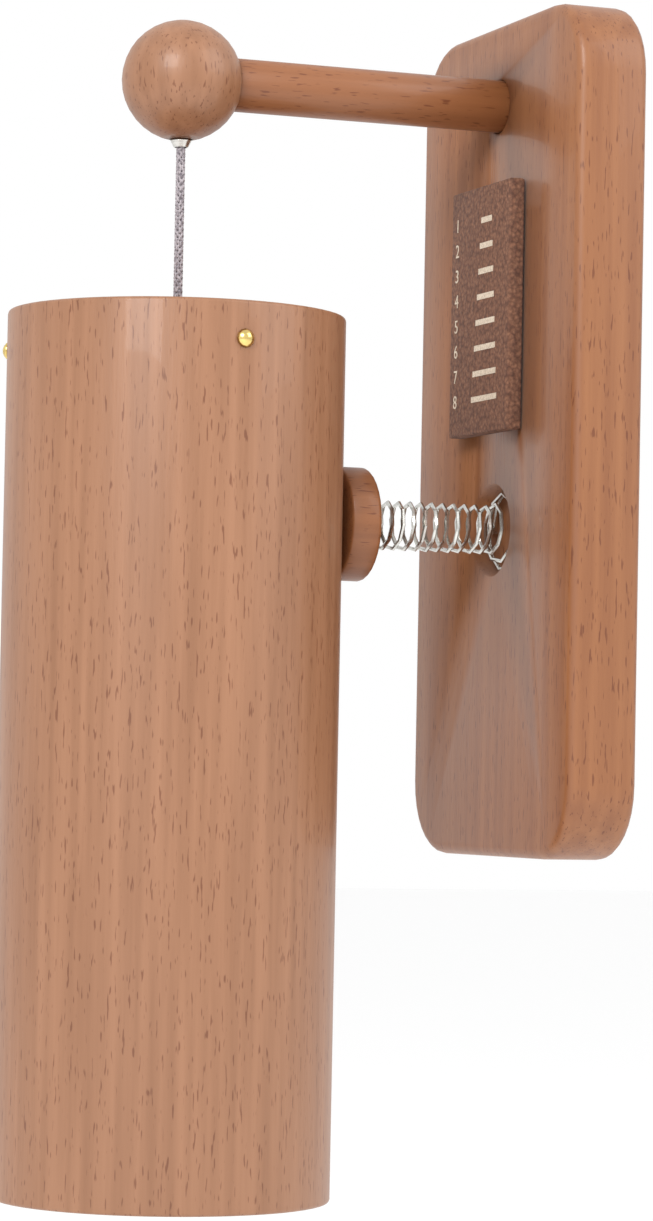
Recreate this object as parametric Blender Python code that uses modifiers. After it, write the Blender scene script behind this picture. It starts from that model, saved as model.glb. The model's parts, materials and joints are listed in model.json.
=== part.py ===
"""Wall door chime in beech.

A flat board carries a round arm that ends in a ball. A braided cord hangs from the ball and
carries a wooden tube with eight tuned steel rods and a wooden clapper inside. A round bumper
on a coil spring stands out of the board, just behind the tube.

The origin lies on the wall plane behind the middle of the board. +X runs to the right of
someone who faces the wall, +Y runs into the wall and +Z runs up. Sizes are in metres.
"""

import math

import bmesh
import bpy
from mathutils import Vector

MM = 0.001

# Clearances
GAP = 0.3 * MM
RIVET_GAP = 0.25 * MM
THREAD_GAP = 0.25 * MM

# Board, its recess and its plaque
BOARD_WIDTH = 75 * MM
BOARD_HEIGHT = 160 * MM
BOARD_THICKNESS = 14 * MM
BOARD_CORNER_RADIUS = 14 * MM
BOARD_EDGE_RADIUS = 1.8 * MM
RECESS_RADIUS = 9 * MM
RECESS_DEPTH = 5 * MM
BUMPER_HEIGHT = -17.6 * MM
PLAQUE_WIDTH = 28 * MM
PLAQUE_HEIGHT = 47.6 * MM
PLAQUE_THICKNESS = 3.1 * MM
PLAQUE_EDGE_RADIUS = 0.4 * MM
PLAQUE_ABOVE_CENTRE = 24.6 * MM

# Adhesive pads between the board and the wall
PAD_WIDTH = 55 * MM
PAD_HEIGHT = 18 * MM
PAD_THICKNESS = 1 * MM
PAD_SPACING = 52 * MM
PAD_COUNT = 3
PAD_CORNER_RADIUS = 2.5 * MM

# Arm and ball
ARM_RADIUS = 5 * MM
ARM_HEIGHT = 64 * MM
ARM_SEAT_DEPTH = 10 * MM
ARM_CHAMFER = 0.6 * MM
BALL_RADIUS = 11.3 * MM
BALL_SEAT_DEPTH = 7 * MM
TUBE_AXIS_FROM_BOARD = 78.5 * MM

# Cord, its ferrule and its knots
CORD_RADIUS = 0.9 * MM
CORD_END_RADIUS = 0.5 * MM
CORD_UPPER_LENGTH = 5.5 * MM
CORD_POINT_STEP = 4 * MM
FERRULE_FLANGE_RADIUS = 1.95 * MM
FERRULE_LIP_RADIUS = 1.35 * MM
FERRULE_BORE_RADIUS = 1.15 * MM
FERRULE_BARREL_RADIUS = 1.5 * MM
FERRULE_BARREL_LENGTH = 2.6 * MM
FERRULE_CONE_HEIGHT = 1.25 * MM
FERRULE_FLANGE_THICKNESS = 0.35 * MM
TOP_KNOT_RADIUS = 1.5 * MM
LOWER_KNOT_RADIUS = 1.7 * MM
KNOT_NECK_RADIUS = 0.8 * MM
WASHER_RADIUS = 4 * MM
WASHER_THICKNESS = 0.8 * MM
WASHER_BORE_RADIUS = 1.2 * MM

# Resonator tube and the disc that closes its top
TUBE_RADIUS = 31.5 * MM
TUBE_WALL = 2.6 * MM
TUBE_LENGTH = 164 * MM
TUBE_RIM_RADIUS = 0.7 * MM
TUBE_TOP_BELOW_ARM = 44 * MM
DISC_THICKNESS = 14 * MM
DISC_BELOW_RIM = 2 * MM
DISC_CHAMFER = 0.5 * MM
DISC_POCKET_RADIUS = 5 * MM
DISC_CEILING = 4 * MM
DISC_CONE_SLOPE = math.radians(17)
DISC_THROAT_RADIUS = 1.5 * MM
PIN_COUNT = 3
PIN_FIRST_ANGLE = math.radians(4)
PIN_BELOW_RIM = 7 * MM
PIN_HEAD_RADIUS = 1.75 * MM
PIN_HEAD_HEIGHT = 1.1 * MM
PIN_SHANK_RADIUS = 0.65 * MM
PIN_DEPTH_IN_DISC = 7 * MM

# Tuned rods and their plate
PLATE_RADIUS = 21 * MM
PLATE_THICKNESS = 2.5 * MM
PLATE_CHAMFER = 0.3 * MM
ROD_RING_RADIUS = 16 * MM
ROD_RADIUS = 1.5 * MM
ROD_NECK_RADIUS = 0.9 * MM
ROD_WAIST_RADIUS = 1.05 * MM
ROD_WAIST_LENGTH = 3 * MM
ROD_TIP_CHAMFER = 0.4 * MM
LOWEST_TONE_HZ = 256.9
ROD_SEMITONES = (0, 15, 7, 22, 3, 12, 10, 19)
STEEL_SOUND_SPEED = 5048.0
CLAMPED_ROD_FACTOR = 0.5596
SCREW_COUNT = 3
SCREW_RING_RADIUS = 9.5 * MM
SCREW_RADIUS = 1.1 * MM
SCREW_BITE = 9 * MM
SCREW_HEAD_RADIUS = 2.2 * MM
SCREW_HEAD_HEIGHT = 1.5 * MM

# Clapper
CLAPPER_RADIUS = 9.5 * MM
CLAPPER_THICKNESS = 5 * MM
CLAPPER_EDGE_RADIUS = 1.4 * MM
CLAPPER_BELOW_PLATE = 32 * MM
CLAPPER_KNOT_RADIUS = 1.3 * MM
STRING_RADIUS = 0.5 * MM
STRING_POINT_STEP = 3 * MM

# Bumper and spring
BUMPER_RADIUS = 10.8 * MM
BUMPER_THICKNESS = 6 * MM
BUMPER_SEAT_DEPTH = 2.5 * MM
BUMPER_FRONT_CHAMFER = 0.4 * MM
BUMPER_REAR_RADIUS = 0.8 * MM
SPRING_WIRE_RADIUS = 0.4 * MM
SPRING_COIL_RADIUS = 4.45 * MM
SPRING_PITCH = 2.22 * MM
SPRING_CLOSED_PITCH = 1.3 * MM
SPRING_CLOSED_TURNS = 1.0
SPRING_FLARE_TURNS = 1.25
SPRING_FLARE_PITCH = 1.6 * MM
SPRING_BASE_TURNS = 1.25
SPRING_MOUTH_RADIUS = 7.2 * MM
POINTS_PER_TURN = 9

# Facets
TUBE_STEPS = 64
BALL_STEPS = 36
BALL_ARC_STEPS = 18
ROUND_STEPS = 32
SMALL_STEPS = 16
HOLE_STEPS = 16
FILLET_STEPS = 3

# Places that follow from the sizes above
BOARD_BACK = -(PAD_THICKNESS + GAP)
BOARD_FACE = BOARD_BACK - BOARD_THICKNESS
AXIS_Y = BOARD_BACK - TUBE_AXIS_FROM_BOARD
TUBE_TOP = ARM_HEIGHT - TUBE_TOP_BELOW_ARM
TUBE_BOTTOM = TUBE_TOP - TUBE_LENGTH
TUBE_BORE_RADIUS = TUBE_RADIUS - TUBE_WALL
DISC_TOP = TUBE_TOP - DISC_BELOW_RIM
DISC_BOTTOM = DISC_TOP - DISC_THICKNESS
POCKET_TOP = DISC_TOP - DISC_CEILING
PLATE_TOP = DISC_BOTTOM - GAP
PLATE_BOTTOM = PLATE_TOP - PLATE_THICKNESS
ROD_TOP = PLATE_BOTTOM - GAP
CLAPPER_MIDDLE = PLATE_BOTTOM - CLAPPER_BELOW_PLATE
CORD_MOUTH = ARM_HEIGHT - BALL_RADIUS - FERRULE_CONE_HEIGHT
CORD_BEND = CORD_MOUTH - CORD_UPPER_LENGTH
BUMPER_FRONT = AXIS_Y + TUBE_RADIUS + GAP
BUMPER_REAR = BUMPER_FRONT + BUMPER_THICKNESS


def make_collection(name):
    collection = bpy.data.collections.new(name)
    bpy.context.scene.collection.children.link(collection)
    return collection


def make_material(name, color, roughness, metallic=0.0):
    material = bpy.data.materials.new(name)
    material.use_nodes = True
    shader = material.node_tree.nodes["Principled BSDF"]
    shader.inputs["Base Color"].default_value = (*color, 1.0)
    shader.inputs["Roughness"].default_value = roughness
    shader.inputs["Metallic"].default_value = metallic
    return material


def world_location(obj):
    location = obj.location.copy()
    carrier = obj.parent
    while carrier:
        location += carrier.location
        carrier = carrier.parent
    return location


def place(obj, location, parent=None, rotation=(0.0, 0.0, 0.0)):
    """Puts an object at a world location; its parents are never turned."""
    obj.parent = parent
    obj.location = Vector(location) - (world_location(parent) if parent else Vector())
    obj.rotation_euler = rotation
    return obj


def add_part(name, data, color, roughness, metallic=0.0):
    obj = bpy.data.objects.new(name, data)
    data.materials.append(make_material(name + "_finish", color, roughness, metallic))
    parts.objects.link(obj)
    return obj


def add_pivot(name, location, parent=None):
    pivot = bpy.data.objects.new(name, None)
    pivot.empty_display_size = 5 * MM
    parts.objects.link(pivot)
    return place(pivot, location, parent)


def arc(centre, radius, start_deg, end_deg, steps):
    """Points of a round stretch of a profile, as (distance from the axis, height)."""
    points = []
    for i in range(steps + 1):
        angle = math.radians(start_deg + (end_deg - start_deg) * i / steps)
        points.append((centre[0] + radius * math.cos(angle), centre[1] + radius * math.sin(angle)))
    return points


def profile_mesh(name, profile, closed):
    mesh = bpy.data.meshes.new(name)
    vertices = [(radius, 0.0, height) for radius, height in profile]
    edges = [(i, i + 1) for i in range(len(profile) - 1)]
    if closed:
        edges.append((len(profile) - 1, 0))
    mesh.from_pydata(vertices, edges, [])
    return mesh


def turn(obj, steps):
    screw = obj.modifiers.new("turned", "SCREW")
    screw.axis = "Z"
    screw.angle = 2 * math.pi
    screw.steps = steps
    screw.render_steps = steps
    screw.use_merge_vertices = True
    screw.merge_threshold = 0.00001
    screw.use_smooth_shade = True
    return obj


def turned_part(name, profile, steps, color, roughness, metallic=0.0, closed=False):
    """A turned solid; its profile runs from the top down its outer side."""
    part = add_part(name, profile_mesh(name, profile, closed), color, roughness, metallic)
    return turn(part, steps)


def make_cutter(name, data):
    cutter = bpy.data.objects.new(name, data)
    cutter.display_type = "WIRE"
    cutter.hide_render = True
    cutters.objects.link(cutter)
    return cutter


def turned_cutter(name, profile, steps, location, rotation=(0.0, 0.0, 0.0), parent=None):
    cutter = turn(make_cutter(name, profile_mesh(name, profile, False)), steps)
    return place(cutter, location, parent, rotation)


def drill(name, radius, bottom, top, location, rotation=(0.0, 0.0, 0.0), parent=None):
    profile = [(0.0, top), (radius, top), (radius, bottom), (0.0, bottom)]
    return turned_cutter(name, profile, HOLE_STEPS, location, rotation, parent)


def cut(obj, cutter):
    boolean = obj.modifiers.new(cutter.name, "BOOLEAN")
    boolean.operation = "DIFFERENCE"
    boolean.solver = "EXACT"
    boolean.object = cutter


def block_mesh(name, size, corner_radius, corner_steps):
    """A block whose four edges along Y are rounded."""
    block = bmesh.new()
    bmesh.ops.create_cube(block, size=1.0)
    bmesh.ops.scale(block, vec=size, verts=block.verts)
    along_y = []
    for edge in block.edges:
        first, last = edge.verts
        if abs(first.co.y - last.co.y) > size[1] / 2:
            along_y.append(edge)
    bmesh.ops.bevel(block, geom=along_y, offset=corner_radius, segments=corner_steps,
                    profile=0.5, affect="EDGES")
    mesh = bpy.data.meshes.new(name)
    block.to_mesh(mesh)
    block.free()
    return mesh


def soften(obj, radius, steps):
    bevel = obj.modifiers.new("softened", "BEVEL")
    bevel.width = radius
    bevel.segments = steps
    bevel.limit_method = "ANGLE"
    bevel.angle_limit = math.radians(60)


def wire_part(name, points, radius, resolution, color, roughness, metallic=0.0, end_radius=None):
    """An unbroken round tube along points, narrowed at both ends where end_radius says so."""
    curve = bpy.data.curves.new(name, "CURVE")
    curve.dimensions = "3D"
    curve.bevel_depth = radius
    curve.bevel_resolution = resolution
    curve.use_fill_caps = True
    spline = curve.splines.new("POLY")
    spline.points.add(len(points) - 1)
    for point, place_on_path in zip(spline.points, points):
        point.co = (*place_on_path, 1.0)
    if end_radius:
        spline.points[0].radius = end_radius / radius
        spline.points[-1].radius = end_radius / radius
    return add_part(name, curve, color, roughness, metallic)


def hanging_points(top, bottom, step):
    """Points of a straight hanging cord, with a short taper at each end."""
    taper = min(step, top - bottom) / 8
    runs = max(1, round((top - bottom - 2 * taper) / step))
    heights = [top]
    for i in range(runs + 1):
        heights.append(top - taper - (top - bottom - 2 * taper) * i / runs)
    heights.append(bottom)
    return [(0.0, 0.0, height) for height in heights]


def knot_profile(radius, neck_radius, neck_length, neck_on_top):
    """A round knot about the origin with a short neck of cord on one side."""
    turn_angle = math.degrees(math.acos(neck_radius / radius))
    if neck_on_top:
        lobe = arc((0.0, 0.0), radius, turn_angle, -90, 8)
        lobe[-1] = (0.0, -radius)
        return [(0.0, neck_length), (neck_radius, neck_length)] + lobe
    lobe = arc((0.0, 0.0), radius, 90, -turn_angle, 8)
    lobe[0] = (0.0, radius)
    return lobe + [(neck_radius, -neck_length), (0.0, -neck_length)]


def build_board():
    size = (BOARD_WIDTH, BOARD_THICKNESS, BOARD_HEIGHT)
    mesh = block_mesh("backboard", size, BOARD_CORNER_RADIUS, 8)
    board = place(add_part("backboard", mesh, BEECH, 0.45), (0, (BOARD_BACK + BOARD_FACE) / 2, 0))
    soften(board, BOARD_EDGE_RADIUS, FILLET_STEPS)
    overrun = 1 * MM
    seat = [
        (0.0, overrun),
        (ARM_RADIUS + GAP, overrun),
        (ARM_RADIUS + GAP, -ARM_SEAT_DEPTH),
        (0.0, -ARM_SEAT_DEPTH),
    ]
    facing_room = (math.pi / 2, 0.0, 0.0)
    cut(board, turned_cutter("arm_seat", seat, ROUND_STEPS, (0, BOARD_FACE, ARM_HEIGHT), facing_room))
    recess = [
        (0.0, overrun),
        (RECESS_RADIUS, overrun),
        (RECESS_RADIUS, -RECESS_DEPTH),
        (0.0, -RECESS_DEPTH),
    ]
    cut(board, turned_cutter("recess", recess, ROUND_STEPS, (0, BOARD_FACE, BUMPER_HEIGHT), facing_room))
    return board


def build_plaque(board):
    size = (PLAQUE_WIDTH, PLAQUE_THICKNESS, PLAQUE_HEIGHT)
    mesh = block_mesh("plaque", size, PLAQUE_EDGE_RADIUS, 2)
    plaque = add_part("plaque", mesh, CORK, 0.85)
    place(plaque, (0, BOARD_FACE - GAP - PLAQUE_THICKNESS / 2, PLAQUE_ABOVE_CENTRE), board)
    soften(plaque, PLAQUE_EDGE_RADIUS, 2)


def build_pads(board):
    size = (PAD_WIDTH, PAD_THICKNESS, PAD_HEIGHT)
    mesh = block_mesh("wall_pad", size, PAD_CORNER_RADIUS, 4)
    for number in range(PAD_COUNT):
        pad = add_part("wall_pad_%d" % (number + 1), mesh.copy(), FOAM, 0.9)
        height = ((PAD_COUNT - 1) / 2 - number) * PAD_SPACING
        place(pad, (0, -PAD_THICKNESS / 2, height), board)


def build_arm(board):
    """The arm runs from the bottom of its seat in the board to its seat in the ball."""
    board_end = BOARD_FACE + ARM_SEAT_DEPTH - GAP
    ball_end = AXIS_Y + BALL_RADIUS - BALL_SEAT_DEPTH + GAP
    length = board_end - ball_end
    profile = [
        (0.0, length),
        (ARM_RADIUS - ARM_CHAMFER, length),
        (ARM_RADIUS, length - ARM_CHAMFER),
        (ARM_RADIUS, ARM_CHAMFER),
        (ARM_RADIUS - ARM_CHAMFER, 0.0),
        (0.0, 0.0),
    ]
    arm = turned_part("arm", profile, ROUND_STEPS, BEECH, 0.4)
    return place(arm, (0, board_end, ARM_HEIGHT), board, (math.pi / 2, 0.0, 0.0))


def build_ball(board):
    profile = arc((0.0, 0.0), BALL_RADIUS, 90, -90, BALL_ARC_STEPS)
    profile[0] = (0.0, BALL_RADIUS)
    profile[-1] = (0.0, -BALL_RADIUS)
    ball = place(turned_part("ball", profile, BALL_STEPS, BEECH, 0.4), (0, AXIS_Y, ARM_HEIGHT), board)
    overrun = 1 * MM
    seat_floor = BALL_RADIUS - BALL_SEAT_DEPTH
    seat = [
        (0.0, BALL_RADIUS + overrun),
        (ARM_RADIUS + GAP, BALL_RADIUS + overrun),
        (ARM_RADIUS + GAP, seat_floor),
        (0.0, seat_floor),
    ]
    toward_wall = (-math.pi / 2, 0.0, 0.0)
    cut(ball, turned_cutter("ball_arm_seat", seat, ROUND_STEPS, (0, AXIS_Y, ARM_HEIGHT), toward_wall))
    hole_radius = FERRULE_BARREL_RADIUS + GAP
    knot_room = FERRULE_BARREL_LENGTH + 2 * TOP_KNOT_RADIUS + 3 * GAP
    flange_room = FERRULE_FLANGE_RADIUS + GAP
    flange_seat = ball_flange_seat()
    hole = [
        (0.0, flange_seat + knot_room),
        (hole_radius, flange_seat + knot_room),
        (hole_radius, flange_seat),
        (flange_room, flange_seat),
        (flange_room, -BALL_RADIUS - overrun),
        (0.0, -BALL_RADIUS - overrun),
    ]
    cut(ball, turned_cutter("ball_cord_hole", hole, ROUND_STEPS, (0, AXIS_Y, ARM_HEIGHT)))


def ball_flange_seat():
    """Height, from the ball's middle, of the flat that the ferrule's flange seats on."""
    room = FERRULE_FLANGE_RADIUS + GAP
    return -math.sqrt(BALL_RADIUS ** 2 - room ** 2) + FERRULE_FLANGE_THICKNESS


def build_ferrule(board):
    """A flanged metal funnel in the ball's underside, with the cord's top knot above it."""
    seat = ARM_HEIGHT + ball_flange_seat() - CORD_MOUTH - GAP
    profile = [
        (FERRULE_BARREL_RADIUS, seat + FERRULE_BARREL_LENGTH),
        (FERRULE_BARREL_RADIUS, seat),
        (FERRULE_FLANGE_RADIUS, seat),
        (FERRULE_FLANGE_RADIUS, seat - FERRULE_FLANGE_THICKNESS),
        (FERRULE_LIP_RADIUS, 0.0),
        (FERRULE_BORE_RADIUS, 0.0),
        (FERRULE_BORE_RADIUS, seat + FERRULE_BARREL_LENGTH),
    ]
    ferrule = turned_part("cord_ferrule", profile, 24, STEEL, 0.3, 1.0, closed=True)
    place(ferrule, (0, AXIS_Y, CORD_MOUTH), board)
    knot_middle = seat + FERRULE_BARREL_LENGTH + GAP + TOP_KNOT_RADIUS
    profile = knot_profile(TOP_KNOT_RADIUS, KNOT_NECK_RADIUS, knot_middle - GAP, False)
    knot = turned_part("cord_top_knot", profile, SMALL_STEPS, CORD_GREY, 0.8)
    place(knot, (0, AXIS_Y, CORD_MOUTH + knot_middle), board)


def build_cord(mouth_pivot, bend_pivot):
    """The free cord in two lengths, which meet at the point where it bends."""
    upper_points = hanging_points(-GAP / 3, GAP - CORD_UPPER_LENGTH, CORD_POINT_STEP)
    upper = wire_part("cord_upper", upper_points, CORD_RADIUS, 2, CORD_GREY, 0.8,
                      end_radius=CORD_END_RADIUS)
    place(upper, (0, AXIS_Y, CORD_MOUTH), mouth_pivot)
    lower_points = hanging_points(0.0, POCKET_TOP + GAP / 3 - CORD_BEND, CORD_POINT_STEP)
    lower = wire_part("cord_lower", lower_points, CORD_RADIUS, 2, CORD_GREY, 0.8,
                      end_radius=CORD_END_RADIUS)
    place(lower, (0, AXIS_Y, CORD_BEND), bend_pivot)


def build_lower_knot(pivot):
    """The knot under the disc and the washer that it bears on."""
    washer_top = POCKET_TOP - GAP
    washer_bottom = washer_top - WASHER_THICKNESS
    profile = [
        (WASHER_RADIUS, 0.0),
        (WASHER_RADIUS, -WASHER_THICKNESS),
        (WASHER_BORE_RADIUS, -WASHER_THICKNESS),
        (WASHER_BORE_RADIUS, 0.0),
    ]
    washer = turned_part("cord_washer", profile, 24, STEEL, 0.35, 1.0, closed=True)
    place(washer, (0, AXIS_Y, washer_top), pivot)
    knot_middle = washer_bottom - GAP - LOWER_KNOT_RADIUS
    profile = knot_profile(LOWER_KNOT_RADIUS, KNOT_NECK_RADIUS, POCKET_TOP - GAP - knot_middle, True)
    knot = turned_part("cord_lower_knot", profile, SMALL_STEPS, CORD_GREY, 0.8)
    place(knot, (0, AXIS_Y, knot_middle), pivot)


def pin_angles():
    return [PIN_FIRST_ANGLE + 2 * math.pi * i / PIN_COUNT for i in range(PIN_COUNT)]


def build_tube(pivot):
    outer = TUBE_RADIUS
    bore = TUBE_BORE_RADIUS
    rim = TUBE_RIM_RADIUS
    bottom = -TUBE_LENGTH
    profile = arc((outer - rim, -rim), rim, 90, 0, FILLET_STEPS)
    profile += arc((outer - rim, bottom + rim), rim, 0, -90, FILLET_STEPS)
    profile += [(bore + rim / 2, bottom), (bore, bottom + rim / 2), (bore, -rim / 2), (bore + rim / 2, 0.0)]
    tube = turned_part("resonator_tube", profile, TUBE_STEPS, BEECH, 0.4, closed=True)
    place(tube, (0, AXIS_Y, TUBE_TOP), pivot)
    for number, angle in enumerate(pin_angles()):
        hole = drill("tube_pin_hole_%d" % (number + 1), PIN_SHANK_RADIUS + GAP,
                     bore - TUBE_WALL, outer + TUBE_WALL,
                     (0, AXIS_Y, TUBE_TOP - PIN_BELOW_RIM), (0.0, math.pi / 2, angle))
        cut(tube, hole)
    return tube


def build_disc(tube):
    """The disc that closes the tube; its pocket holds the knots and its throat the cord."""
    radius = TUBE_BORE_RADIUS - GAP
    cone_radius = DISC_THROAT_RADIUS + DISC_CEILING * math.tan(DISC_CONE_SLOPE)
    profile = [
        (radius - DISC_CHAMFER, 0.0),
        (radius, -DISC_CHAMFER),
        (radius, DISC_CHAMFER - DISC_THICKNESS),
        (radius - DISC_CHAMFER, -DISC_THICKNESS),
        (DISC_POCKET_RADIUS, -DISC_THICKNESS),
        (DISC_POCKET_RADIUS, -DISC_CEILING),
        (DISC_THROAT_RADIUS, -DISC_CEILING),
        (cone_radius, 0.0),
    ]
    disc = turned_part("top_disc", profile, TUBE_STEPS, BEECH, 0.5, closed=True)
    place(disc, (0, AXIS_Y, DISC_TOP), tube)
    for number, angle in enumerate(pin_angles()):
        hole = drill("disc_pin_hole_%d" % (number + 1), PIN_SHANK_RADIUS + GAP,
                     radius - PIN_DEPTH_IN_DISC - GAP, TUBE_RADIUS,
                     (0, AXIS_Y, TUBE_TOP - PIN_BELOW_RIM), (0.0, math.pi / 2, angle))
        cut(disc, hole)
    for number, spot in enumerate(ring_spots(SCREW_COUNT, SCREW_RING_RADIUS, math.pi / 6)):
        hole = drill("disc_screw_hole_%d" % (number + 1), SCREW_RADIUS + GAP,
                     -GAP, SCREW_BITE + 2 * GAP, (spot[0], spot[1], DISC_BOTTOM))
        cut(disc, hole)


def build_pins(tube):
    """Domed brass pins that run through the tube's wall into the disc."""
    head_base = TUBE_RADIUS + GAP / 2
    dome = PIN_HEAD_RADIUS ** 2 / (2 * PIN_HEAD_HEIGHT) + PIN_HEAD_HEIGHT / 2
    half_angle = math.degrees(math.asin(PIN_HEAD_RADIUS / dome))
    tip = TUBE_BORE_RADIUS - GAP - PIN_DEPTH_IN_DISC
    profile = arc((0.0, head_base + PIN_HEAD_HEIGHT - dome), dome, 90, 90 - half_angle, 4)
    profile[0] = (0.0, head_base + PIN_HEAD_HEIGHT)
    profile += [
        (PIN_SHANK_RADIUS, head_base),
        (PIN_SHANK_RADIUS, tip + 2 * PIN_SHANK_RADIUS),
        (0.0, tip),
    ]
    for number, angle in enumerate(pin_angles()):
        pin = turned_part("brass_pin_%d" % (number + 1), profile, 12, BRASS, 0.25, 1.0)
        place(pin, (0, AXIS_Y, TUBE_TOP - PIN_BELOW_RIM), tube, (0.0, math.pi / 2, angle))


def ring_spots(count, radius, first_angle=0.0):
    spots = []
    for i in range(count):
        angle = first_angle + 2 * math.pi * i / count
        spots.append((radius * math.cos(angle), AXIS_Y + radius * math.sin(angle)))
    return spots


def build_plate(tube):
    """The steel plate that carries the rods."""
    bore = STRING_RADIUS + THREAD_GAP
    profile = [
        (PLATE_RADIUS - PLATE_CHAMFER, 0.0),
        (PLATE_RADIUS, -PLATE_CHAMFER),
        (PLATE_RADIUS, PLATE_CHAMFER - PLATE_THICKNESS),
        (PLATE_RADIUS - PLATE_CHAMFER, -PLATE_THICKNESS),
        (bore, -PLATE_THICKNESS),
        (bore, 0.0),
    ]
    plate = turned_part("rod_plate", profile, 48, STEEL, 0.35, 1.0, closed=True)
    place(plate, (0, AXIS_Y, PLATE_TOP), tube)
    overrun = 1 * MM
    for number, spot in enumerate(ring_spots(len(ROD_SEMITONES), ROD_RING_RADIUS)):
        hole = drill("rod_hole_%d" % (number + 1), ROD_NECK_RADIUS + RIVET_GAP,
                     PLATE_BOTTOM - overrun, PLATE_TOP + overrun, (spot[0], spot[1], 0))
        cut(plate, hole)
    for number, spot in enumerate(ring_spots(SCREW_COUNT, SCREW_RING_RADIUS, math.pi / 6)):
        hole = drill("plate_screw_hole_%d" % (number + 1), SCREW_RADIUS + GAP,
                     PLATE_BOTTOM - overrun, PLATE_TOP + overrun, (spot[0], spot[1], 0))
        cut(plate, hole)


def rod_length(semitones):
    """Free length of a round steel rod, clamped at one end, that sounds a tone."""
    frequency = LOWEST_TONE_HZ * 2 ** (semitones / 12)
    return math.sqrt(CLAMPED_ROD_FACTOR * ROD_RADIUS / 2 * STEEL_SOUND_SPEED / frequency)


def build_rods(tube):
    neck_top = PLATE_TOP - RIVET_GAP - ROD_TOP
    for number, spot in enumerate(ring_spots(len(ROD_SEMITONES), ROD_RING_RADIUS)):
        length = rod_length(ROD_SEMITONES[number])
        profile = [
            (0.0, neck_top),
            (ROD_NECK_RADIUS, neck_top),
            (ROD_NECK_RADIUS, 0.0),
            (ROD_RADIUS, 0.0),
            (ROD_RADIUS, -ROD_RADIUS),
            (ROD_WAIST_RADIUS, -2 * ROD_RADIUS),
            (ROD_WAIST_RADIUS, -2 * ROD_RADIUS - ROD_WAIST_LENGTH),
            (ROD_RADIUS, -3 * ROD_RADIUS - ROD_WAIST_LENGTH),
            (ROD_RADIUS, ROD_TIP_CHAMFER - length),
            (ROD_RADIUS - ROD_TIP_CHAMFER, -length),
            (0.0, -length),
        ]
        rod = turned_part("tone_rod_%d" % (number + 1), profile, 12, STEEL, 0.25, 1.0)
        place(rod, (spot[0], spot[1], ROD_TOP), tube)


def build_screws(tube):
    """Pan-head screws that hold the rod plate to the disc."""
    head_top = -GAP / 2
    head_bottom = head_top - SCREW_HEAD_HEIGHT
    tip = PLATE_THICKNESS + GAP + SCREW_BITE
    profile = [
        (0.0, tip),
        (SCREW_RADIUS, tip - 2 * SCREW_RADIUS),
        (SCREW_RADIUS, head_top),
        (SCREW_HEAD_RADIUS, head_top),
        (SCREW_HEAD_RADIUS, head_top - SCREW_HEAD_HEIGHT / 2),
        (SCREW_HEAD_RADIUS * 0.7, head_bottom),
        (0.0, head_bottom),
    ]
    for number, spot in enumerate(ring_spots(SCREW_COUNT, SCREW_RING_RADIUS, math.pi / 6)):
        screw = turned_part("plate_screw_%d" % (number + 1), profile, 12, STEEL, 0.35, 1.0)
        place(screw, (spot[0], spot[1], PLATE_BOTTOM), tube)


def build_clapper(pivot):
    """The clapper, its string and the string's two knots."""
    knot_middle = PLATE_TOP + GAP + CLAPPER_KNOT_RADIUS
    profile = knot_profile(CLAPPER_KNOT_RADIUS, STRING_RADIUS, knot_middle - PLATE_BOTTOM - GAP, False)
    knot = turned_part("clapper_top_knot", profile, SMALL_STEPS, STRING_BEIGE, 0.8)
    place(knot, (0, AXIS_Y, knot_middle), pivot)

    half = CLAPPER_THICKNESS / 2
    edge = CLAPPER_EDGE_RADIUS
    bore = STRING_RADIUS + THREAD_GAP
    profile = [(bore, half)]
    profile += arc((CLAPPER_RADIUS - edge, half - edge), edge, 90, 0, FILLET_STEPS)
    profile += arc((CLAPPER_RADIUS - edge, edge - half), edge, 0, -90, FILLET_STEPS)
    profile.append((bore, -half))
    clapper = turned_part("clapper", profile, ROUND_STEPS, BEECH, 0.5, closed=True)
    place(clapper, (0, AXIS_Y, CLAPPER_MIDDLE), pivot)

    lower_knot_middle = CLAPPER_MIDDLE - half - GAP - CLAPPER_KNOT_RADIUS
    string_end = lower_knot_middle + CLAPPER_KNOT_RADIUS + GAP
    points = hanging_points(0.0, string_end - PLATE_BOTTOM, STRING_POINT_STEP)
    string = wire_part("clapper_string", points, STRING_RADIUS, 2, STRING_BEIGE, 0.8)
    place(string, (0, AXIS_Y, PLATE_BOTTOM), pivot)

    profile = knot_profile(CLAPPER_KNOT_RADIUS, STRING_RADIUS, CLAPPER_KNOT_RADIUS * 1.5, False)
    knot = turned_part("clapper_lower_knot", profile, SMALL_STEPS, STRING_BEIGE, 0.8)
    place(knot, (0, AXIS_Y, lower_knot_middle), pivot)


def build_bumper(pivot):
    """The wooden bumper, with a seat for the spring in its back."""
    seat_radius = SPRING_COIL_RADIUS + SPRING_WIRE_RADIUS + GAP
    rear = -BUMPER_THICKNESS
    fillet = BUMPER_REAR_RADIUS
    profile = [
        (0.0, 0.0),
        (BUMPER_RADIUS - BUMPER_FRONT_CHAMFER, 0.0),
        (BUMPER_RADIUS, -BUMPER_FRONT_CHAMFER),
    ]
    profile += arc((BUMPER_RADIUS - fillet, rear + fillet), fillet, 0, -90, FILLET_STEPS)
    profile += [
        (seat_radius, rear),
        (seat_radius, rear + BUMPER_SEAT_DEPTH),
        (0.0, rear + BUMPER_SEAT_DEPTH),
    ]
    bumper = turned_part("bumper", profile, ROUND_STEPS, BEECH, 0.45)
    place(bumper, (0, BUMPER_FRONT, BUMPER_HEIGHT), pivot, (math.pi / 2, 0.0, 0.0))


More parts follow.
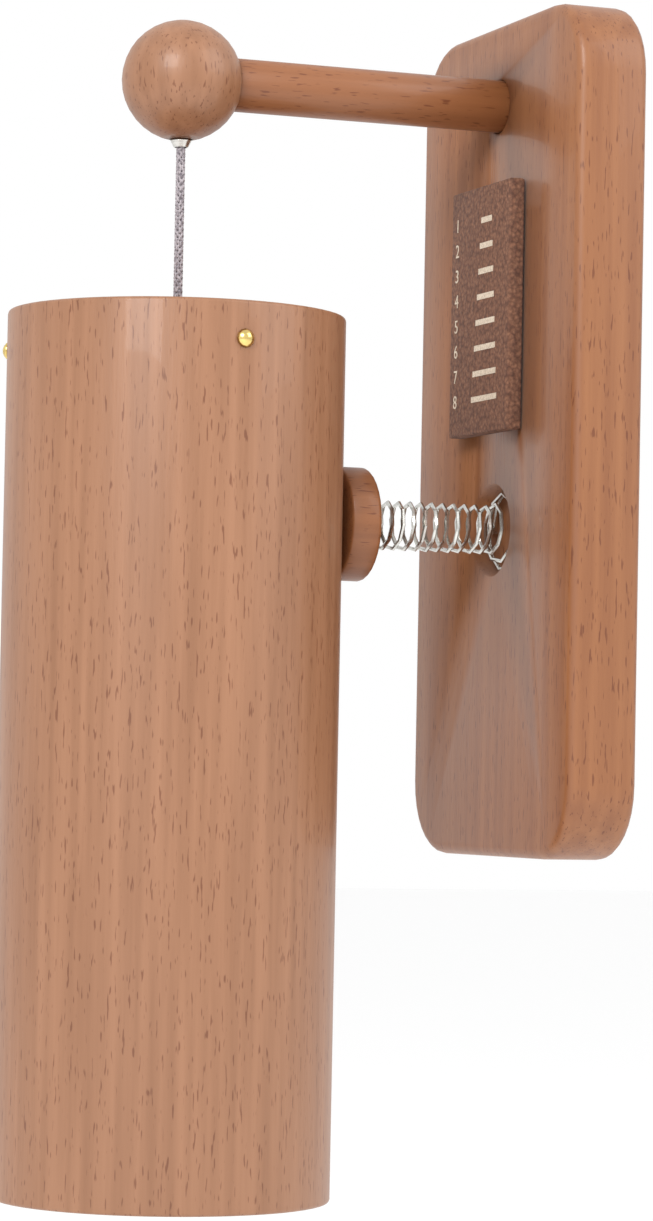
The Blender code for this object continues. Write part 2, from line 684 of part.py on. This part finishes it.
def spring_points():
    """Centre line of the spring, from the bumper to the floor of the recess.

    Its end turns are close together, its body is even, and its last turns widen into a foot
    that fills the recess. A short straight tail meets the seat at each end.
    """
    wire = 2 * SPRING_WIRE_RADIUS
    start = BUMPER_REAR - BUMPER_SEAT_DEPTH + GAP
    finish = BOARD_FACE + RECESS_DEPTH - GAP
    foot_radius = RECESS_RADIUS - GAP - SPRING_WIRE_RADIUS
    coil_start = start + wire
    coil_finish = finish - wire
    closed_run = SPRING_CLOSED_TURNS * SPRING_CLOSED_PITCH
    flare_run = SPRING_FLARE_TURNS * SPRING_FLARE_PITCH
    base_run = SPRING_BASE_TURNS * SPRING_CLOSED_PITCH
    body_run = coil_finish - coil_start - closed_run - flare_run - base_run
    body_turns = max(3, round(body_run / SPRING_PITCH))
    stages = [
        (SPRING_CLOSED_TURNS, closed_run, SPRING_COIL_RADIUS, SPRING_COIL_RADIUS),
        (body_turns, body_run, SPRING_COIL_RADIUS, SPRING_COIL_RADIUS),
        (SPRING_FLARE_TURNS, flare_run, SPRING_COIL_RADIUS, SPRING_MOUTH_RADIUS),
        (SPRING_BASE_TURNS, base_run, SPRING_MOUTH_RADIUS, foot_radius),
    ]
    points = [(SPRING_COIL_RADIUS, start, 0.0)]
    turns_before = 0.0
    depth = coil_start
    for turns, run, first_radius, last_radius in stages:
        steps = round(turns * POINTS_PER_TURN)
        for i in range(steps):
            share = i / steps
            radius = first_radius + (last_radius - first_radius) * share
            angle = 2 * math.pi * (turns_before + turns * share)
            points.append((radius * math.cos(angle), depth + run * share, radius * math.sin(angle)))
        turns_before += turns
        depth += run
    angle = 2 * math.pi * turns_before
    last = (foot_radius * math.cos(angle), foot_radius * math.sin(angle))
    points.append((last[0], depth, last[1]))
    points.append((last[0], finish, last[1]))
    return points


def least_gap(points, thickness, skip):
    """Smallest free space between stretches of the tube that are skip points apart."""
    smallest = math.inf
    for i, first in enumerate(points):
        for second in points[i + skip:]:
            smallest = min(smallest, math.dist(first, second) - thickness)
    return smallest


def build_spring(board):
    points = spring_points()
    gap = least_gap(points, 2 * SPRING_WIRE_RADIUS, POINTS_PER_TURN // 2)
    print("bumper_spring: %d points, least gap to itself %.2f mm" % (len(points), gap / MM))
    spring = wire_part("bumper_spring", points, SPRING_WIRE_RADIUS, 1, STEEL, 0.3, 1.0)
    place(spring, (0, 0, BUMPER_HEIGHT), board)


BEECH = (0.55, 0.29, 0.15)
CORK = (0.27, 0.12, 0.07)
FOAM = (0.75, 0.75, 0.73)
STEEL = (0.56, 0.55, 0.52)
BRASS = (0.78, 0.57, 0.2)
CORD_GREY = (0.33, 0.3, 0.31)
STRING_BEIGE = (0.6, 0.55, 0.45)

for old in list(bpy.data.objects):
    bpy.data.objects.remove(old, do_unlink=True)

parts = make_collection("door_chime")
cutters = make_collection("cutters")

backboard = build_board()
build_plaque(backboard)
build_pads(backboard)
build_arm(backboard)
build_ball(backboard)
build_ferrule(backboard)
build_spring(backboard)

bumper_slide = add_pivot("bumper_slide", (0, BUMPER_FRONT, BUMPER_HEIGHT), backboard)
build_bumper(bumper_slide)

cord_mouth = add_pivot("cord_mouth", (0, AXIS_Y, CORD_MOUTH), backboard)
cord_bend = add_pivot("cord_bend", (0, AXIS_Y, CORD_BEND), cord_mouth)
build_cord(cord_mouth, cord_bend)

tube_hang = add_pivot("tube_hang", (0, AXIS_Y, POCKET_TOP), cord_bend)
build_lower_knot(tube_hang)
resonator = build_tube(tube_hang)
build_disc(resonator)
build_pins(resonator)
build_plate(resonator)
build_rods(resonator)
build_screws(resonator)

clapper_hang = add_pivot("clapper_hang", (0, AXIS_Y, PLATE_BOTTOM), resonator)
build_clapper(clapper_hang)
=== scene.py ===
import json
import math

import bmesh
import bpy
from mathutils import Matrix, Vector

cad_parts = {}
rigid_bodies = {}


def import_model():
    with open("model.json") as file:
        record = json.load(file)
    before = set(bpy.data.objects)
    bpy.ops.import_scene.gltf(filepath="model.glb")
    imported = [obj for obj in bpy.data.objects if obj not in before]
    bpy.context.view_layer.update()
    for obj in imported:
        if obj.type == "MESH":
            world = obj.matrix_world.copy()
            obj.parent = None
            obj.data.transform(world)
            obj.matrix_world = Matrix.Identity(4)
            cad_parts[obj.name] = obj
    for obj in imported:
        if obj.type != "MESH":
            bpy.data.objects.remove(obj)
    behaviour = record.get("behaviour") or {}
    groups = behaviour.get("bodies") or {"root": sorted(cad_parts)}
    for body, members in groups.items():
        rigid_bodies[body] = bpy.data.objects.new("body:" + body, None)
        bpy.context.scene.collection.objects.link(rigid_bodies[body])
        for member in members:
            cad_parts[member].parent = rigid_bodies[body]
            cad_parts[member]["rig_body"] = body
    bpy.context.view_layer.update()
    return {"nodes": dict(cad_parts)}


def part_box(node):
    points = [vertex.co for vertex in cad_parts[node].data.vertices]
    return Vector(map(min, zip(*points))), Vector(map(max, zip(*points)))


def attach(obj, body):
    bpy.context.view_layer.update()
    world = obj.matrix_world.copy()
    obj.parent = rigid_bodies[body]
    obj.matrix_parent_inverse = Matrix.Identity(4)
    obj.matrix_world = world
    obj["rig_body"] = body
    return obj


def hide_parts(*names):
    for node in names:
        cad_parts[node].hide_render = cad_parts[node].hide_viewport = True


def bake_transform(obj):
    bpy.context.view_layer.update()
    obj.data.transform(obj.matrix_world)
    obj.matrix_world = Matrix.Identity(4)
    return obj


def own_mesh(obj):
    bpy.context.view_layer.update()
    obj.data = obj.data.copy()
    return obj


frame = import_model()


mm = 0.001
tubeLow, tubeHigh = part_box("resonator_tube")
tubeAxisY = (tubeLow.y + tubeHigh.y) / 2
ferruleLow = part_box("cord_ferrule")[0]

# Camera, where the photograph was taken from
cameraSet = {"azimuth": 68.84, "pitch": 2.25, "roll": 1.10, "focalPixels": 4147.0,
             "longSidePixels": 1221, "place": (0.7289, -0.3310, -0.0648), "sensor": 36.0}


def buildCamera():
    a, p, r = (math.radians(cameraSet[key]) for key in ("azimuth", "pitch", "roll"))
    forward = Vector((-math.sin(a) * math.cos(p), math.cos(a) * math.cos(p), math.sin(p)))
    level = Vector((math.cos(a), math.sin(a), 0))
    upright = level.cross(forward)
    right = level * math.cos(r) + upright * math.sin(r)
    up = upright * math.cos(r) - level * math.sin(r)
    data = bpy.data.cameras.new("photoCamera")
    data.sensor_width = cameraSet["sensor"]
    data.lens = cameraSet["focalPixels"] * cameraSet["sensor"] / cameraSet["longSidePixels"]
    data.clip_start = 0.01
    camera = bpy.data.objects.new("photoCamera", data)
    turned = Matrix((right, up, -forward)).transposed().to_4x4()
    camera.matrix_world = Matrix.Translation(cameraSet["place"]) @ turned
    bpy.context.scene.collection.objects.link(camera)
    bpy.context.scene.camera = camera
    print("camera placed")


def newMaterial(name, roughness, metallic=0.0):
    material = bpy.data.materials.new(name)
    material.use_nodes = True
    tree = material.node_tree
    shader = tree.nodes["Principled BSDF"]
    shader.inputs["Roughness"].default_value = roughness
    shader.inputs["Metallic"].default_value = metallic
    coordinates = tree.nodes.new("ShaderNodeTexCoord")
    return material, tree, shader, coordinates.outputs["Object"]


def stretched(tree, coordinates, scale):
    mapping = tree.nodes.new("ShaderNodeMapping")
    mapping.inputs["Scale"].default_value = scale
    tree.links.new(coordinates, mapping.inputs["Vector"])
    return mapping.outputs["Vector"]


def noiseOf(tree, vector, scale, detail=4.0):
    noise = tree.nodes.new("ShaderNodeTexNoise")
    noise.inputs["Scale"].default_value = scale
    noise.inputs["Detail"].default_value = detail
    tree.links.new(vector, noise.inputs["Vector"])
    return noise.outputs["Fac"]


def rampOf(tree, factor, low, high, lowColor, highColor):
    ramp = tree.nodes.new("ShaderNodeValToRGB")
    ramp.color_ramp.elements[0].position = low
    ramp.color_ramp.elements[1].position = high
    ramp.color_ramp.elements[0].color = (*lowColor, 1)
    ramp.color_ramp.elements[1].color = (*highColor, 1)
    tree.links.new(factor, ramp.inputs["Fac"])
    return ramp.outputs["Color"]


def bumpFrom(tree, shader, height, strength, distance):
    bump = tree.nodes.new("ShaderNodeBump")
    bump.inputs["Strength"].default_value = strength
    bump.inputs["Distance"].default_value = distance
    tree.links.new(height, bump.inputs["Height"])
    tree.links.new(bump.outputs["Normal"], shader.inputs["Normal"])


def multiply(tree, first, second):
    mix = tree.nodes.new("ShaderNodeMixRGB")
    mix.blend_type = "MULTIPLY"
    mix.inputs["Fac"].default_value = 1.0
    tree.links.new(first, mix.inputs["Color1"])
    tree.links.new(second, mix.inputs["Color2"])
    return mix.outputs["Color"]


beechSet = {"acrossGrain": 420.0, "alongGrain": 16.0, "streakRange": (0.3, 0.7),
            "fleckAcross": 2300.0, "fleckAlong": 300.0, "fleckRange": (0.30, 0.36),
            "fleckColor": (0.60, 0.46, 0.38), "plain": (1, 1, 1), "roughness": 0.45, "coat": 0.1,
            "bump": 0.15, "bumpDepth": 0.2 * mm}


def makeBeech(name, grainAxis, light, dark):
    # Soft streaks along the grain, with the short dark flecks of beech
    material, tree, shader, place = newMaterial(name, beechSet["roughness"])
    shader.inputs["Coat Weight"].default_value = beechSet["coat"]
    grain = [beechSet["acrossGrain"]] * 3
    flecks = [beechSet["fleckAcross"]] * 3
    grain[grainAxis] = beechSet["alongGrain"]
    flecks[grainAxis] = beechSet["fleckAlong"]
    streaks = noiseOf(tree, stretched(tree, place, grain), 1.0, 5.0)
    dashes = noiseOf(tree, stretched(tree, place, flecks), 1.0, 1.0)
    base = rampOf(tree, streaks, *beechSet["streakRange"], dark, light)
    marks = rampOf(tree, dashes, *beechSet["fleckRange"], beechSet["fleckColor"], beechSet["plain"])
    tree.links.new(multiply(tree, base, marks), shader.inputs["Base Color"])
    bumpFrom(tree, shader, dashes, beechSet["bump"], beechSet["bumpDepth"])
    return material


corkSet = {"roughness": 0.85, "grainScale": 1100, "grainRange": (0.1, 0.8),
           "light": (0.25, 0.115, 0.065), "dark": (0.12, 0.05, 0.03), "speckScale": 2200,
           "speckRange": (0.4, 0.6), "speckDark": (0.7, 0.7, 0.7), "plain": (1, 1, 1),
           "bump": 0.5, "bumpDepth": 0.3 * mm}


def makeCork():
    material, tree, shader, place = newMaterial("corkAgglomerate", corkSet["roughness"])
    grains = tree.nodes.new("ShaderNodeTexVoronoi")
    grains.inputs["Scale"].default_value = corkSet["grainScale"]
    tree.links.new(place, grains.inputs["Vector"])
    base = rampOf(tree, grains.outputs["Distance"], *corkSet["grainRange"],
                  corkSet["light"], corkSet["dark"])
    fine = noiseOf(tree, place, corkSet["speckScale"])
    specks = rampOf(tree, fine, *corkSet["speckRange"], corkSet["speckDark"], corkSet["plain"])
    tree.links.new(multiply(tree, base, specks), shader.inputs["Base Color"])
    bumpFrom(tree, shader, grains.outputs["Distance"], corkSet["bump"], corkSet["bumpDepth"])
    return material


steelSet = {"color": (0.66, 0.65, 0.61), "roughness": 0.25, "grain": (300, 300, 3000)}
brassSet = {"color": (0.83, 0.62, 0.22), "roughness": 0.2, "grain": (900, 900, 900)}
wearSet = {"range": (0.35, 0.65), "darkening": 0.82, "bump": 0.08, "bumpDepth": 0.1 * mm}


def makeMetal(name, metal):
    material, tree, shader, place = newMaterial(name, metal["roughness"], 1.0)
    wear = noiseOf(tree, stretched(tree, place, metal["grain"]), 1.0)
    darker = tuple(wearSet["darkening"] * channel for channel in metal["color"])
    worn = rampOf(tree, wear, *wearSet["range"], darker, metal["color"])
    tree.links.new(worn, shader.inputs["Base Color"])
    bumpFrom(tree, shader, wear, wearSet["bump"], wearSet["bumpDepth"])
    return material


greySet = {"light": (0.42, 0.38, 0.40), "dark": (0.13, 0.11, 0.13), "scale": 4200}
beigeSet = {"light": (0.62, 0.56, 0.45), "dark": (0.33, 0.28, 0.2), "scale": 5000}
fibreSet = {"roughness": 0.8, "sheen": 0.4, "stretch": (1.0, 1.0, 0.35), "range": (0.38, 0.58),
            "bump": 0.4, "bumpDepth": 0.1 * mm}


def makeFibre(name, fibre):
    material, tree, shader, place = newMaterial(name, fibreSet["roughness"])
    shader.inputs["Sheen Weight"].default_value = fibreSet["sheen"]
    fibres = noiseOf(tree, stretched(tree, place, fibreSet["stretch"]), fibre["scale"])
    color = rampOf(tree, fibres, *fibreSet["range"], fibre["dark"], fibre["light"])
    tree.links.new(color, shader.inputs["Base Color"])
    bumpFrom(tree, shader, fibres, fibreSet["bump"], fibreSet["bumpDepth"])
    return material


foamSet = {"roughness": 0.9, "cellScale": 2600, "range": (0.3, 0.7), "dark": (0.6, 0.6, 0.58),
           "light": (0.8, 0.8, 0.78), "bump": 0.4, "bumpDepth": 0.2 * mm}


def makeFoam():
    material, tree, shader, place = newMaterial("foamTape", foamSet["roughness"])
    cells = noiseOf(tree, place, foamSet["cellScale"])
    color = rampOf(tree, cells, *foamSet["range"], foamSet["dark"], foamSet["light"])
    tree.links.new(color, shader.inputs["Base Color"])
    bumpFrom(tree, shader, cells, foamSet["bump"], foamSet["bumpDepth"])
    return material


def finishPiece(name, mesh, material):
    mesh.materials.clear()
    mesh.materials.append(material)
    piece = bpy.data.objects.new(name, mesh)
    bpy.context.scene.collection.objects.link(piece)
    return piece


smoothSet = {"merge": 0.002 * mm, "sharpAngle": 32}


def dressNode(node, material):
    # A smooth copy of the solid, with its corners kept crisp
    shape = bmesh.new()
    shape.from_mesh(frame["nodes"][node].data)
    bmesh.ops.remove_doubles(shape, verts=shape.verts, dist=smoothSet["merge"])
    mesh = bpy.data.meshes.new(node + "Shape")
    shape.to_mesh(mesh)
    shape.free()
    mesh.shade_smooth()
    mesh.set_sharp_from_angle(angle=math.radians(smoothSet["sharpAngle"]))
    piece = finishPiece(node + "Dressed", mesh, material)
    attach(piece, frame["nodes"][node]["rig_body"])
    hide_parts(node)
    return piece


def meshFromCurve(name, splines, radius, resolution):
    curve = bpy.data.curves.new(name, "CURVE")
    curve.dimensions = "3D"
    curve.bevel_depth = radius
    curve.bevel_resolution = resolution
    curve.use_fill_caps = True
    for points in splines:
        spline = curve.splines.new("POLY")
        spline.points.add(len(points) - 1)
        for point, place in zip(spline.points, points):
            point.co = (*place, 1)
    holder = bpy.data.objects.new(name + "Guide", curve)
    bpy.context.scene.collection.objects.link(holder)
    bpy.context.view_layer.update()
    solid = holder.evaluated_get(bpy.context.evaluated_depsgraph_get())
    mesh = bpy.data.meshes.new_from_object(solid)
    bpy.data.objects.remove(holder)
    mesh.shade_smooth()
    return mesh


strandSet = {"weave": 0.12, "resolution": 2}
cordSet = {"diameter": 1.8 * mm, "strands": 4, "strandRadius": 0.28 * mm, "lay": 5.2 * mm,
           "bend": 5.5 * mm, "bendReach": 2.5 * mm, "steps": 90, "pathSteps": 24}


def strandsAround(top, bottom, settings, ways):
    # Strands that wind round the cord, both ways for a braid and one way for a twist
    reach = settings["diameter"] / 2 - settings["strandRadius"]
    lines = []
    for way in ways:
        for strand in range(settings["strands"]):
            line = []
            for step in range(settings["steps"] + 1):
                drop = (top - bottom) * step / settings["steps"]
                turn = 2 * math.pi * (strand / settings["strands"] + way * drop / settings["lay"])
                weave = reach * (1 + strandSet["weave"] * way * math.cos(settings["strands"] * turn))
                weave = min(weave, reach)
                line.append((weave * math.cos(turn), tubeAxisY + weave * math.sin(turn), top - drop))
            lines.append(line)
    return lines


def buildCord():
    top = ferruleLow.z
    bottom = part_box("cord_lower")[0].z
    strands = strandsAround(top, bottom, cordSet, (1, -1))
    mesh = meshFromCurve("braid", strands, cordSet["strandRadius"], strandSet["resolution"])
    cord = finishPiece("hangingCord", mesh, makeFibre("greyBraid", greySet))
    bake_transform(cord)
    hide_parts("cord_upper", "cord_lower")
    print("cord hung")


stringSet = {"diameter": 1.0 * mm, "strands": 3, "strandRadius": 0.27 * mm, "lay": 3.0 * mm,
             "steps": 110, "pathSteps": 20}


def buildString():
    low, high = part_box("clapper_string")
    strands = strandsAround(high.z, low.z, stringSet, (1,))
    mesh = meshFromCurve("twist", strands, stringSet["strandRadius"], strandSet["resolution"])
    string = finishPiece("clapperTwine", mesh, makeFibre("beigeTwine", beigeSet))
    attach(string, "clapper")
    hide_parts("clapper_string")
    print("clapper string hung")


markSet = {"rows": 8, "spacing": 4.9 * mm, "height": 1.1 * mm, "shortest": 5.0 * mm, "growth": 1.0 * mm,
           "depth": 0.06 * mm, "numeralSize": 3.6 * mm, "numeralPlace": -11.0 * mm,
           "barPlace": 3.0 * mm, "roughness": 0.7, "wearScale": 3000, "wearRange": (0.3, 0.6),
           "worn": (0.42, 0.33, 0.24), "fresh": (0.66, 0.56, 0.44)}


def markRows(material):
    # One bar on each point of an upright line, each longer than the one above
    tree = bpy.data.node_groups.new("markRows", "GeometryNodeTree")
    tree.interface.new_socket("Geometry", in_out="INPUT", socket_type="NodeSocketGeometry")
    tree.interface.new_socket("Geometry", in_out="OUTPUT", socket_type="NodeSocketGeometry")
    rows = tree.interface.new_socket("Rows", in_out="INPUT", socket_type="NodeSocketInt")
    spacing = tree.interface.new_socket("Spacing", in_out="INPUT", socket_type="NodeSocketFloat")
    start = tree.nodes.new("NodeGroupInput")
    end = tree.nodes.new("NodeGroupOutput")
    line = tree.nodes.new("GeometryNodeMeshLine")
    offset = tree.nodes.new("ShaderNodeCombineXYZ")
    bar = tree.nodes.new("GeometryNodeMeshCube")
    bar.inputs["Size"].default_value = (markSet["shortest"], markSet["depth"], markSet["height"])
    index = tree.nodes.new("GeometryNodeInputIndex")
    longer = tree.nodes.new("ShaderNodeMath")
    longer.operation = "MULTIPLY_ADD"
    longer.inputs[1].default_value = markSet["growth"] / markSet["shortest"]
    longer.inputs[2].default_value = 1.0
    scale = tree.nodes.new("ShaderNodeCombineXYZ")
    scale.inputs["Y"].default_value = 1.0
    scale.inputs["Z"].default_value = 1.0
    copies = tree.nodes.new("GeometryNodeInstanceOnPoints")
    solid = tree.nodes.new("GeometryNodeRealizeInstances")
    painted = tree.nodes.new("GeometryNodeSetMaterial")
    painted.inputs["Material"].default_value = material
    links = tree.links
    links.new(start.outputs["Rows"], line.inputs["Count"])
    links.new(start.outputs["Spacing"], offset.inputs["Z"])
    links.new(offset.outputs["Vector"], line.inputs["Offset"])
    links.new(line.outputs["Mesh"], copies.inputs["Points"])
    links.new(bar.outputs["Mesh"], copies.inputs["Instance"])
    links.new(index.outputs["Index"], longer.inputs[0])
    links.new(longer.outputs["Value"], scale.inputs["X"])
    links.new(scale.outputs["Vector"], copies.inputs["Scale"])
    links.new(copies.outputs["Instances"], solid.inputs["Geometry"])
    links.new(solid.outputs["Geometry"], painted.inputs["Geometry"])
    links.new(painted.outputs["Geometry"], end.inputs["Geometry"])
    return tree, {rows.identifier: markSet["rows"], spacing.identifier: -markSet["spacing"]}


def buildMarks():
    low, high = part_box("plaque")
    material, tree, shader, place = newMaterial("palePrint", markSet["roughness"])
    wear = noiseOf(tree, place, markSet["wearScale"])
    color = rampOf(tree, wear, *markSet["wearRange"], markSet["worn"], markSet["fresh"])
    tree.links.new(color, shader.inputs["Base Color"])
    top = (low.z + high.z) / 2 + (markSet["rows"] - 1) * markSet["spacing"] / 2
    face = low.y - markSet["depth"] / 2
    group, values = markRows(material)
    holder = bpy.data.objects.new("markGuide", bpy.data.meshes.new("markGuide"))
    bpy.context.scene.collection.objects.link(holder)
    modifier = holder.modifiers.new("rows", "NODES")
    modifier.node_group = group
    for identifier, value in values.items():
        modifier[identifier] = value
    bpy.context.view_layer.update()
    solid = holder.evaluated_get(bpy.context.evaluated_depsgraph_get())
    bars = bpy.data.meshes.new_from_object(solid)
    bpy.data.objects.remove(holder)
    bars.transform(Matrix.Translation((markSet["barPlace"], face, top)))
    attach(finishPiece("plaqueBars", bars, material), "base")
    for row in range(markSet["rows"]):
        text = bpy.data.curves.new("numeral", "FONT")
        text.body = str(row + 1)
        text.size = markSet["numeralSize"]
        text.extrude = markSet["depth"] / 2
        text.align_x = "CENTER"
        text.align_y = "CENTER"
        writer = bpy.data.objects.new("numeralGuide", text)
        bpy.context.scene.collection.objects.link(writer)
        bpy.context.view_layer.update()
        solid = writer.evaluated_get(bpy.context.evaluated_depsgraph_get())
        mesh = bpy.data.meshes.new_from_object(solid)
        bpy.data.objects.remove(writer)
        upright = Matrix.Rotation(math.pi / 2, 4, "X")
        height = top - row * markSet["spacing"]
        mesh.transform(Matrix.Translation((markSet["numeralPlace"], face, height)) @ upright)
        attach(finishPiece("plaqueNumeral%d" % (row + 1), mesh, material), "base")
    print("plaque marked")


def closeSpring(spring):
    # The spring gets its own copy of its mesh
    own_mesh(spring)


# Light and dark of the grain: tube and ball, board, and the turned pieces that point outward
woodColors = {"upright": ((0.31, 0.145, 0.074), (0.24, 0.106, 0.05)),
              "board": ((0.28, 0.11, 0.04), (0.215, 0.076, 0.026)),
              "outward": ((0.27, 0.10, 0.035), (0.215, 0.076, 0.026))}
upAxis = 2
outwardAxis = 1


def dressSolids():
    upright = makeBeech("beechUpright", upAxis, *woodColors["upright"])
    board = makeBeech("beechBoard", upAxis, *woodColors["board"])
    outward = makeBeech("beechOutward", outwardAxis, *woodColors["outward"])
    steel = makeMetal("brightSteel", steelSet)
    brass = makeMetal("polishedBrass", brassSet)
    knots = makeFibre("greyKnot", greySet)
    twine = makeFibre("beigeKnot", beigeSet)
    cork = makeCork()
    foam = makeFoam()
    byNode = {"backboard": (board, "beech"), "arm": (outward, "beech"), "bumper": (outward, "beech"),
              "ball": (upright, "beech"), "resonator_tube": (upright, "beech"),
              "top_disc": (outward, "beech"), "clapper": (outward, "beech"), "plaque": (cork, "cork"),
              "cord_top_knot": (knots, "cord"), "cord_lower_knot": (knots, "cord"),
              "clapper_top_knot": (twine, "string"), "clapper_lower_knot": (twine, "string")}
    ownPieces = ("cord_upper", "cord_lower", "clapper_string")
    for node in sorted(frame["nodes"]):
        if node in ownPieces:
            continue
        if node in byNode:
            material, slot = byNode[node]
        elif node.startswith("brass_pin"):
            material, slot = brass, "brass"
        elif node.startswith("wall_pad"):
            material, slot = foam, "foam"
        else:
            material, slot = steel, "steel"
        piece = dressNode(node, material)
        if node == "bumper_spring":
            closeSpring(piece)
    print("solids dressed")


stageSet = {"floorDrop": 0.12, "floorHalf": 6.0, "floorColor": (0.97, 0.97, 0.97),
            "floorRoughness": 0.9, "sky": 1.0}
lightSet = {"key": {"place": (0.75, -0.75, 0.6), "size": 0.5, "power": 9},
            "fill": {"place": (0.5, 0.5, 0.5), "size": 0.6, "power": 3}}


def areaLight(name, place, target, size, power):
    data = bpy.data.lights.new(name, "AREA")
    data.size = size
    data.energy = power
    light = bpy.data.objects.new(name, data)
    light.location = place
    aim = Vector(target) - Vector(place)
    light.rotation_euler = aim.to_track_quat("-Z", "Y").to_euler()
    bpy.context.scene.collection.objects.link(light)


def buildStage():
    half = stageSet["floorHalf"]
    level = tubeLow.z - stageSet["floorDrop"]
    mesh = bpy.data.meshes.new("floor")
    mesh.from_pydata([(-half, -half, level), (half, -half, level), (half, half, level),
                      (-half, half, level)], [], [(0, 1, 2, 3)])
    floor = bpy.data.objects.new("floor", mesh)
    material, tree, shader, place = newMaterial("paleFloor", stageSet["floorRoughness"])
    shader.inputs["Base Color"].default_value = (*stageSet["floorColor"], 1)
    mesh.materials.append(material)
    bpy.context.scene.collection.objects.link(floor)
    world = bpy.data.worlds.new("softStudio")
    world.use_nodes = True
    world.node_tree.nodes["Background"].inputs["Color"].default_value = (1, 1, 1, 1)
    world.node_tree.nodes["Background"].inputs["Strength"].default_value = stageSet["sky"]
    bpy.context.scene.world = world
    middle = (0, tubeAxisY, 0)
    for name, light in lightSet.items():
        areaLight(name, light["place"], middle, light["size"], light["power"])
    print("stage set")


buildCamera()
buildCord()
buildString()
dressSolids()
buildMarks()
buildStage()
bpy.context.scene.view_settings.view_transform = "Standard"
